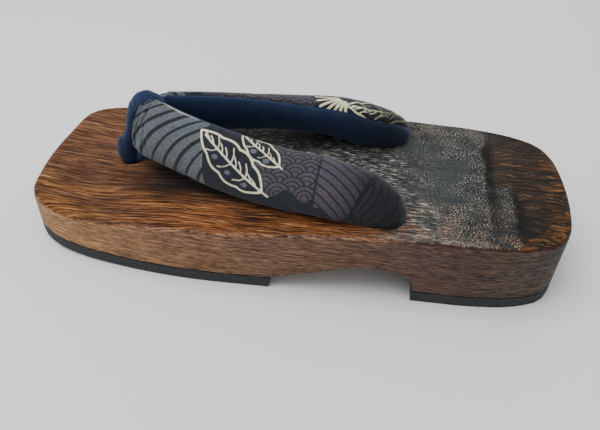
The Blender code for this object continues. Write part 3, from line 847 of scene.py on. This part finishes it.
# %% Arm stations and creases
# Stations of the left arm: x, y and height of its middle, width, thickness, all in mm, and its lean in degrees.
ARM = (
    (4.1, -79.1, 52.4, 26.6, 13.8, 24.0),
    (7.9, -72.65, 51.68, 28.56, 12.8, 28.0),
    (13.1, -59.15, 50.0, 28.56, 13.34, 26.0),
    (22.35, -32.15, 47.73, 28.56, 14.5, 32.0),
    (29.42, -5.15, 46.81, 28.0, 15.95, 42.0),
    (32.56, 20.5, 45.65, 27.16, 17.69, 44.0),
    (33.6, 36.7, 41.68, 24.64, 18.27, 38.0),
    (35.89, 45.47, 37.04, 19.6, 16.24, 26.0),
    (37.0, 47.5, 31.54, 11.76, 11.02, 10.0),
    (37.0, 47.5, 16.85, 10.4, 10.4, 0.0),
)
# How the two arms differ near their holes: the left one stands a little higher, the right one lies further in on the
# wood and is pressed thicker there. For each station: shift in x, in y and in height, wider, thicker, lean.
LEFT_CHANGE = {5: (0, 0, 0.5, 0, 0, 0), 6: (0, 0, 1.3, 0, 0, 0), 7: (0, 0, 1.2, 0, 0, 0)}
RIGHT_CHANGE = {4: (0.6, 0, -0.4, 0, 1.4, 0), 5: (1.6, 0, -1.2, 0, 3.8, 0), 6: (2.2, 0, -1.7, 0, 5.2, 0)}
RIGHT_CHANGE[7] = (1.6, 0, -1.2, 1.0, 4.0, 0)
ARM_RINGS = 360
ARM_SIDES = 140
FRONT_ROUND = 3.6
SEAM_DEPTH = 0.75
SEAM_WIDTH = 0.11
# Creases that reach less far than this along the arm are sharp enough to get painted shade on the print.
SHARP = 0.9
# Creases: how far along, where round the section in degrees (90 is the middle of the print), how far they reach
# both ways along and round, depth in mm, and how far they slant.
GATHERS = (
    (1.6, 92, 0.5, 78, 0.75, 0.3),
    (3.2, 84, 0.5, 74, 0.95, -0.4),
    (4.9, 98, 0.5, 70, 0.95, 0.6),
    (6.7, 82, 0.6, 62, 0.8, -0.8),
    (9.2, 104, 0.7, 50, 0.6, 1.6),
    (13.2, 130, 1.2, 36, 0.55, 3.4),
    (34.0, 160, 3.0, 26, 0.4, 6.0),
    (62.0, 28, 3.4, 24, 0.35, -7.0),
    (88.0, 158, 3.2, 26, 0.45, 7.0),
    (112.0, 35, 2.6, 28, 0.5, -5.0),
    (121.0, 120, 1.6, 40, 0.6, 3.5),
    (127.0, 70, 1.4, 44, 0.8, -3.0),
    (130.5, 110, 1.1, 60, 0.95, 2.4),
    (134.0, 60, 1.0, 55, 0.9, -1.6),
)


def arm_surface(side, change):
    """Rings of points of one arm, with the cloth's own numbers along and across."""
    rows = np.array([(side * row[0], *row[1:]) for row in ARM])
    for station, shift in change.items():
        rows[station] += shift
    path, run = smooth_path(rows, ARM_RINGS)
    centres, widths, thicks, lean = path[:, :3], path[:, 3], path[:, 4], np.radians(path[:, 5])
    ups = np.column_stack([-side * np.sin(lean), np.zeros(ARM_RINGS), np.cos(lean)])
    ups, across = ways_across(centres, ups)
    across = across * side
    turn = np.linspace(-math.pi / 2, 1.5 * math.pi, ARM_SIDES)
    near_front = np.clip(1 - run / FRONT_ROUND, 0, 0.97)
    shrink = np.sqrt(1 - near_front**2)
    long_way = np.cos(turn)[None, :] * (widths * shrink)[:, None] / 2
    short_way = np.sin(turn)[None, :] * (thicks * shrink)[:, None] / 2
    points = centres[:, None] + ups[:, None] * long_way[..., None] + across[:, None] * short_way[..., None]
    outward = ups[:, None] * (long_way / widths[:, None] ** 2)[..., None]
    outward = outward + across[:, None] * (short_way / thicks[:, None] ** 2)[..., None]
    outward /= np.linalg.norm(outward, axis=2)[..., None]
    push = np.zeros((ARM_RINGS, ARM_SIDES))
    for edge in (0.0, math.pi):
        push -= SEAM_DEPTH * np.exp(-(((turn - edge) / SEAM_WIDTH) ** 2))[None, :] * rise(run, 4, 12)[:, None]
    degrees = np.degrees(turn)
    crease_shade = np.zeros_like(push)
    for place, middle, reach_along, reach_round, depth, slant in GATHERS:
        round_share = (degrees - middle) / reach_round
        offset = (run[:, None] - place - slant * round_share[None, :]) / reach_along
        fold = depth * np.exp(-(offset**2)) * np.exp(-(round_share**2))[None, :]
        crease_shade += np.minimum(fold, 1.0) * (reach_along < SHARP)
        push -= fold
    points = points + outward * push[..., None]
    steps = np.linalg.norm(np.diff(points, axis=1), axis=2)
    length = np.concatenate([np.zeros((ARM_RINGS, 1)), np.cumsum(steps, axis=1)], axis=1)
    upper_edge = np.argmin(np.abs(turn))
    return points, run, length - length[:, [upper_edge]], degrees, crease_shade


print("arm creases:", len(GATHERS))

# %% [markdown]
# The rolled arm still passes through its neighbours. Four rules press it into place, as the real padding gives way:
# it stays on its own side of the other arm and below the loop's ridge, it bends round the loop, and it lies on the
# wood except where it goes down its hole.

# %% Press the arms against their neighbours
CLEAR = 0.3
HOLE_RADIUS = 5.2
HOLE_LIP = 3.0
HOLE_DEPTH = 12
# Height of the base's top at places along it.
TOP_LINE = ((-131, 28.29), (-102.2, 25.37), (-65.5, 28.84), (-13.1, 32.19), (44.5, 36.21), (96.9, 36.61))
TOP_LINE += ((131, 36.1),)
# The highest that the cloth reaches under the loop's ridge, how it climbs towards the heel, and how far the right
# arm's tip is tucked down behind the loop. Then, along the base: where the ridge is, where this ceiling ends, where
# the tuck begins and is full, and how far the loop is felt.
LOOP_CEILING = 61.2
CEILING_SLOPE = 0.3
TUCK = 3.6
RIDGE_PLACE = -81
CEILING_END = -60
TUCK_BEGINS, TUCK_FULL = -64, -70
LOOP_FELT = -55
loop_tree = nearest_among(loop_centres)


def deck_top(y):
    """Height of the base's top at places along it."""
    places, heights = np.array(TOP_LINE, float).T
    return smooth_between(places, heights[:, None], np.clip(y, places[0], places[-1]))[:, 0]


def settle(points, side):
    """Moves an arm's points clear of the other arm, the loop and the wood."""
    flat = points.reshape(-1, 3).copy()
    flat[:, 0] = side * np.maximum(side * flat[:, 0], CLEAR / 2)
    ceiling = LOOP_CEILING + CEILING_SLOPE * (flat[:, 1] - RIDGE_PLACE)
    if side < 0:
        ceiling -= TUCK * rise(-flat[:, 1], -TUCK_BEGINS, -TUCK_FULL)
    flat[:, 2] = np.minimum(flat[:, 2], np.where(flat[:, 1] < CEILING_END, ceiling, np.inf))
    for number in np.nonzero(flat[:, 1] < LOOP_FELT)[0]:
        centre, station, _ = loop_tree.find(flat[number])
        away = flat[number] - np.array(centre) + (side * 0.3, 0, 0)
        wide = loop_sizes[station] / 2 + CLEAR
        deep = wide * loop_flatness[station]
        reach = math.hypot(away @ loop_ups[station] / wide, away @ loop_across[station] / deep)
        if reach < 1:
            flat[number] = np.array(centre) + away / max(reach, 0.05)
    wood_top = deck_top(flat[:, 1]) + CLEAR
    hole = np.array([side * REAR_HOLE[0], REAR_HOLE[1]])
    from_hole = flat[:, :2] - hole
    reach = np.linalg.norm(from_hole, axis=1)
    sunk = flat[:, 2] < wood_top
    inside = sunk & (reach < HOLE_RADIUS + HOLE_LIP)
    pull = np.minimum(1.0, HOLE_RADIUS / np.maximum(reach, 0.01))
    flat[inside, :2] = hole + from_hole[inside] * pull[inside, None]
    resting = sunk & ~inside & (flat[:, 2] > wood_top - HOLE_DEPTH)
    flat[resting, 2] = wood_top[resting]
    return flat.reshape(points.shape)


print("room kept round the loop and the wood:", CLEAR, "mm")

# %% [markdown]
# ## A print for the cloth
#
# The outer cloth is cotton with a traditional kind of print: slate stripes like running water, leaves outlined in
# cream, and mauve wave scales and bands on charcoal. This design is the lesson's own. It is drawn with strokes,
# discs and bands on the flat cloth. Each point of the arm stores how deep it lies inside each colour, in
# millimetres, and the material cuts at zero. That keeps the edges of a stroke crisp between the points.


# %% Drawing tools
LAYERS = ("slate", "mauve", "dark", "cream")
# A depth that counts as far outside any shape.
OUTSIDE = -9.0


def curve(points, steps=10):
    """A smooth line through the given points."""
    path, _ = smooth_path([(*point, 0.0) for point in points], steps * len(points))
    return path[:, :2]


def stroke(u, v, line, width):
    """How deep each place lies inside a stroke; negative outside."""
    inside = np.full(u.shape, OUTSIDE)
    reach = width / 2 + 2.5
    low, high = line.min(axis=0) - reach, line.max(axis=0) + reach
    near = np.nonzero((u > low[0]) & (u < high[0]) & (v > low[1]) & (v < high[1]))[0]
    if len(near) == 0:
        return inside
    place = np.column_stack([u[near], v[near]])
    best = np.full(len(near), -OUTSIDE)
    for start, end in zip(line, line[1:]):
        way = end - start
        share = np.clip(((place - start) @ way) / max(float(way @ way), 1e-9), 0, 1)
        best = np.minimum(best, np.linalg.norm(place - start - share[:, None] * way, axis=1))
    inside[near] = width / 2 - best
    return inside


def disc(u, v, centre_u, centre_v, radius_u, radius_v=None):
    """How deep each place lies inside a disc or an oval."""
    radius_v = radius_v or radius_u
    reach = np.hypot((u - centre_u) / radius_u, (v - centre_v) / radius_v)
    return (1 - reach) * min(radius_u, radius_v)


print("drawing tools ready")


# %% [markdown]
# Each motif adds to the four layers, or takes away from them. Later layers lie over earlier ones.


# %% Motifs
# How a water stripe bends: the share of its bend that it has at each place across the cloth.
STRIPE_BENDS = ((0.0, 40), (0.1, 28), (0.35, 16), (1.0, 3), (1.4, -4))


def add(layers, name, depth):
    layers[name] = np.maximum(layers[name], depth)


def erase(layers, names, depth):
    for name in names:
        layers[name] = np.minimum(layers[name], -depth)


def water_stripes(layers, u, v, start, end, pitch, tilt):
    """A slate ground with dark lines that sweep back as they rise."""
    zone = np.minimum(end - tilt * (0.4 - v / 90) - u, u - start)
    add(layers, "slate", zone)
    count = int((end - start) / pitch) + 4
    for number in range(count):
        foot = start - 14 + pitch * number
        width = 1.6 + 0.35 * math.sin(number * 2.1)
        bend = tilt * (0.8 + 0.05 * number)
        knees = [(foot + share * bend, place) for share, place in STRIPE_BENDS]
        add(layers, "dark", np.minimum(stroke(u, v, curve(knees), width), zone))


def leaf(layers, u, v, stem, tip, half_width, lobes=4):
    """A leaf outlined in cream, with a midrib, side veins and small slate seeds along one half."""
    stem, tip = np.array(stem, float), np.array(tip, float)
    axis = tip - stem
    side_way = np.array([-axis[1], axis[0]]) / np.linalg.norm(axis)

    def half_at(share):
        return half_width * np.sin(math.pi * share**0.85) ** 0.8

    fill = np.full(u.shape, OUTSIDE)
    for share in np.linspace(0.06, 0.94, 19):
        fill = np.maximum(fill, disc(u, v, *(stem + share * axis), half_at(share)))
    erase(layers, LAYERS, fill + 0.6)
    bold = 1.0 if half_width > 6 else 0.8
    share = np.linspace(0, 1, 81)
    midrib = stem + share[:, None] * axis
    scallop = 1 + 0.15 * np.abs(np.sin(lobes * math.pi * share))
    width = (half_at(share) * scallop)[:, None] * side_way
    add(layers, "cream", stroke(u, v, np.vstack([midrib - width, (midrib + width)[::-1]]), bold))
    add(layers, "cream", stroke(u, v, np.vstack([stem - 0.08 * axis, stem + 0.92 * axis]), bold * 0.9))
    for number in range(1, 3 * lobes):
        size = half_at(number / (3 * lobes))
        root = stem + number / (3 * lobes) * axis * 0.92
        paired = number % 3 == 0
        for half in (-1, 1) if paired else (1,):
            reach = half * size * (0.78 if paired else 0.46) * side_way
            vein = curve([root, root + reach * 0.55 + 0.035 * axis, root + reach + 0.1 * axis], 5)
            add(layers, "cream", stroke(u, v, vein, bold * 0.6))
        if number % 3 == 2 and size > 0.55 * half_width:
            seed = root - 0.56 * size * side_way + 0.04 * axis
            bead = disc(u, v, *seed, 1.6, 1.1)
            erase(layers, ("mauve",), bead + 0.4)
            add(layers, "slate", bead)


def scales(layers, u, v, zone, size, first, low):
    """Round mauve wave scales in rows; each has three dark rings, and each row lies over the one above it."""
    for row in range(10):
        for number in range(8):
            centre_u = first + (2 * number + row % 2) * size
            reach = disc(u, v, centre_u, low + row * size * 0.55, size)
            inside = np.minimum(reach, zone)
            erase(layers, ("dark",), inside)
            add(layers, "mauve", inside)
            for share in (1.0, 0.68, 0.36):
                ring = 0.34 - np.abs(reach - size * (1 - share) - 0.34)
                add(layers, "dark", np.minimum(ring, zone))


def wave_bands(layers, u, v, zone, centre, pitch):
    """Mauve bands with dark lines between them, bent round one centre."""
    erase(layers, ("dark",), zone)
    add(layers, "mauve", zone)
    distance = np.hypot(u - centre[0], v - centre[1])
    lines_in = 0.42 - np.abs((distance % pitch) - pitch / 2)
    add(layers, "dark", np.minimum(lines_in, zone))
    add(layers, "dark", 0.45 - np.abs(zone))


def fan(layers, u, v, centre, size, start, end, ribs=7):
    """A cream fan: rays from one point."""
    for number in range(ribs):
        angle = math.radians(start + (end - start) * number / (ribs - 1))
        way = np.array([math.cos(angle), math.sin(angle)])
        line = np.vstack([np.array(centre) + 0.22 * size * way, np.array(centre) + size * way])
        add(layers, "cream", stroke(u, v, line, 1.3))


print("motifs: stripes, leaf, scales, bands, fan")

# %% [markdown]
# The two arms are cut from different places of the same cloth, so each has its own layout.


# %% Print layouts
def left_layout(u, v):
    """The left arm: stripes, two leaves that lie across their end, waves, then bands into the hole."""
    layers = {name: np.full(u.shape, OUTSIDE) for name in LAYERS}
    water_stripes(layers, u, v, -5, 47, 6.6, 19)
    add(layers, "cream", stroke(u, v, curve([(12, 0.9), (22, 1.3), (33, 0.9)]), 0.9))
    hem = 25.0 + 2.4 * np.sin(u * 0.42) - v
    scales(layers, u, v, np.minimum.reduce([u - 67 + 1.6 * np.sin(v * 0.5), 101 - u, hem]), 6.0, 64, -4)
    aslant = u + (v - 14) * 0.22
    wave_bands(layers, u, v, np.minimum.reduce([aslant - 94 - v * 0.25, 117 - aslant, hem + 6]), (82, 56), 3.6)
    wave_bands(layers, u, v, np.minimum.reduce([aslant - 118, 134 - aslant, hem + 4]), (98, 14), 3.4)
    leaf(layers, u, v, (80, 13), (57, 1), 4.6, 3)
    leaf(layers, u, v, (75, 26), (38, 6), 7.4, 4)
    return layers


def right_layout(u, v):
    """The right arm: short stripes, waves, a cream fan, then a leaf near the heel."""
    layers = {name: np.full(u.shape, OUTSIDE) for name in LAYERS}
    water_stripes(layers, u, v, -5, 28, 5.4, 16)
    hem = 23.0 + 2.4 * np.sin(u * 0.38) - v
    scales(layers, u, v, np.minimum.reduce([u - 28, 86 - u + 1.4 * np.sin(v * 0.6), hem]), 6.0, 24, -4)
    wave_bands(layers, u, v, np.minimum(disc(u, v, 104, 27, 17, 9), 34 - v), (96, 48), 3.6)
    fan(layers, u, v, (101, 9), 14, 186, 276)
    leaf(layers, u, v, (133, 8), (102, 4), 6.4, 4)
    return layers


print("two layouts")

# %% [markdown]
# ## Printed cotton
#
# The print is slightly chalky. Threads show in it both ways: each way is a noise that is squeezed across the thread
# and stretched along it, so that some threads are paler than others, as in slub cotton.

# %% Cloth finish
cloth = Finish("printed_cloth", Roughness=0.88, Sheen_Weight=0.22, Sheen_Roughness=0.45, Specular_IOR_Level=0.25)
c_along = cloth.attribute("cloth_along")
c_across = cloth.attribute("cloth_across")
warp = cloth.grain(c_along * 0.22, c_across * 3.6, 0.0, roughness=0.7)
weft = cloth.grain(c_along * 3.6, c_across * 0.22, 5.0, roughness=0.7)
worn = cloth.grain(c_along * 0.08, c_across * 0.08, 1.0)
threads = warp * 0.5 + weft * 0.5
colour = cloth.mix(threads.step(0.36, 0.64), (0.0085, 0.011, 0.017), (0.021, 0.027, 0.038))
EDGE = 0.16
# For each layer: how sharply its threads differ, and its colour on dark and on pale threads.
INKS = {
    "slate": ((0.38, 0.62), (0.052, 0.063, 0.076), (0.17, 0.194, 0.22)),
    "mauve": ((0.38, 0.62), (0.044, 0.036, 0.05), (0.104, 0.084, 0.112)),
    "dark": ((0.38, 0.62), (0.01, 0.012, 0.014), (0.024, 0.027, 0.032)),
    "cream": ((0.3, 0.6), (0.62, 0.59, 0.39), (0.88, 0.84, 0.6)),
}
for layer, (spread, dark, pale) in INKS.items():
    bleed = cloth.attribute(layer) + (threads - 0.5) * 0.9
    colour = cloth.mix(bleed.step(-EDGE, EDGE), colour, cloth.mix(threads.step(*spread), dark, pale))
faded = cloth.mix(1.0, colour, cloth.ramp(worn, ((0.3, (0.82,) * 3), (0.75, (1.0,) * 3))), "MULTIPLY")
cloth_colour = cloth.coats(
    faded,
    # Painted shade where the arm goes down into its hole.
    (c_along.step(100, 125) * 0.86, (0.003, 0.0035, 0.006)),
    # Painted shade in the sharp creases.
    (cloth.attribute("fold").step(0.25, 0.85) * 0.7, (0.012, 0.014, 0.018)),
)
cloth.give("Base Color", cloth_colour)
cloth.bump(threads, 0.00022, 0.8)
print("cloth nodes:", len(cloth.tree.nodes))

# %% [markdown]
# Both arms are rolled, pressed, printed and lined by the same lines. The faces on the foot's side get the knit, and
# the others the print. Shade is painted into the sharp creases, so each point stores how deep it lies in one.

# %% Make both arms
# The material needs no depth beyond this many millimetres.
INK_REACH = 3
both_arms = ((1, "strap_left", LEFT_CHANGE, left_layout), (-1, "strap_right", RIGHT_CHANGE, right_layout))
for side, name, change, layout in both_arms:
    surface, run, across, degrees, crease_shade = arm_surface(side, change)
    arm, ring, place = rolled_cloth(name, settle(surface, side))
    along_cloth, across_cloth = run[ring], across[ring, place]
    paint(arm, "cloth_along", along_cloth)
    paint(arm, "cloth_across", across_cloth)
    paint(arm, "fold", crease_shade[ring, place])
    for layer, depth in layout(along_cloth, across_cloth).items():
        paint(arm, layer, np.clip(depth, -INK_REACH, INK_REACH))
    lined = (degrees[place] < 0) | (degrees[place] > 180)
    arm.data.polygons.foreach_set(
        "material_index", [int(any(lined[v] for v in face.vertices)) for face in arm.data.polygons]
    )
    close_roll(arm)
    dress(arm, [cloth, knit], "printed_cloth", "strap", padding=0.85)

# %% [markdown]
# ## The knots
#
# Under each hole the cords are tied, and the knot is too thick to slip back up. A trefoil is the simplest knot that
# can be written as sines. A closed curve follows it, and a round bevel makes it a cord. The photo doesn't show the
# knots: they are guessed from how such sandals are made.

# %% Knots
KNOT_WIDTH = 14.0
CORD = 3.4
SWELL = 0.62
KNOT_POINTS = 84
cotton = Finish("cotton_cord", Roughness=0.9, Sheen_Weight=0.2)
spun = cotton.place()
twist = (cotton.part(spun, "X") + cotton.part(spun, "Y") + cotton.part(spun, "Z") * 1.4) * 5.2
strands = twist.wave()
fluff = cotton.noise(spun, detail=4.0, roughness=0.7)
cotton.give("Base Color", cotton.mix(strands * 0.6 + fluff * 0.4, (0.01, 0.01, 0.012), (0.052, 0.05, 0.056)))
cotton.bump(strands * 0.7 + fluff * 0.3, 0.0003, 0.8)


def knot(name, x, y, top, node):
    """A cord tied in a trefoil that hangs just under the given height; all in millimetres."""
    swing = (KNOT_WIDTH - CORD) / 6
    line = bpy.data.curves.new(name, "CURVE")
    line.dimensions = "3D"
    line.bevel_depth = CORD / 2 * MM
    line.bevel_resolution = 3
    spline = line.splines.new("POLY")
    spline.points.add(KNOT_POINTS - 1)
    for number, point in enumerate(spline.points):
        t = 2 * math.pi * number / KNOT_POINTS
        px = x + swing * (math.sin(t) + 2 * math.sin(2 * t))
        py = y + swing * (math.cos(t) - 2 * math.cos(2 * t))
        pz = top - CORD / 2 - CORD * SWELL * (1 + math.sin(3 * t))
        point.co = (px * MM, py * MM, pz * MM, 1)
    spline.use_cyclic_u = True
    made = bpy.data.objects.new(name, line)
    bpy.context.scene.collection.objects.link(made)
    only(made)
    bpy.ops.object.convert(target="MESH")
    dress(bpy.context.object, [cotton], "cotton_cord", node)


for node, name, hole_x, hole_y in (
    ("knot_front", "front_knot", *FRONT_HOLE),
    ("knot_rear_left", "left_knot", *REAR_HOLE),
    ("knot_rear_right", "right_knot", -REAR_HOLE[0], REAR_HOLE[1]),
):
    knot(name, hole_x, hole_y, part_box(node)[1].z / MM, node)
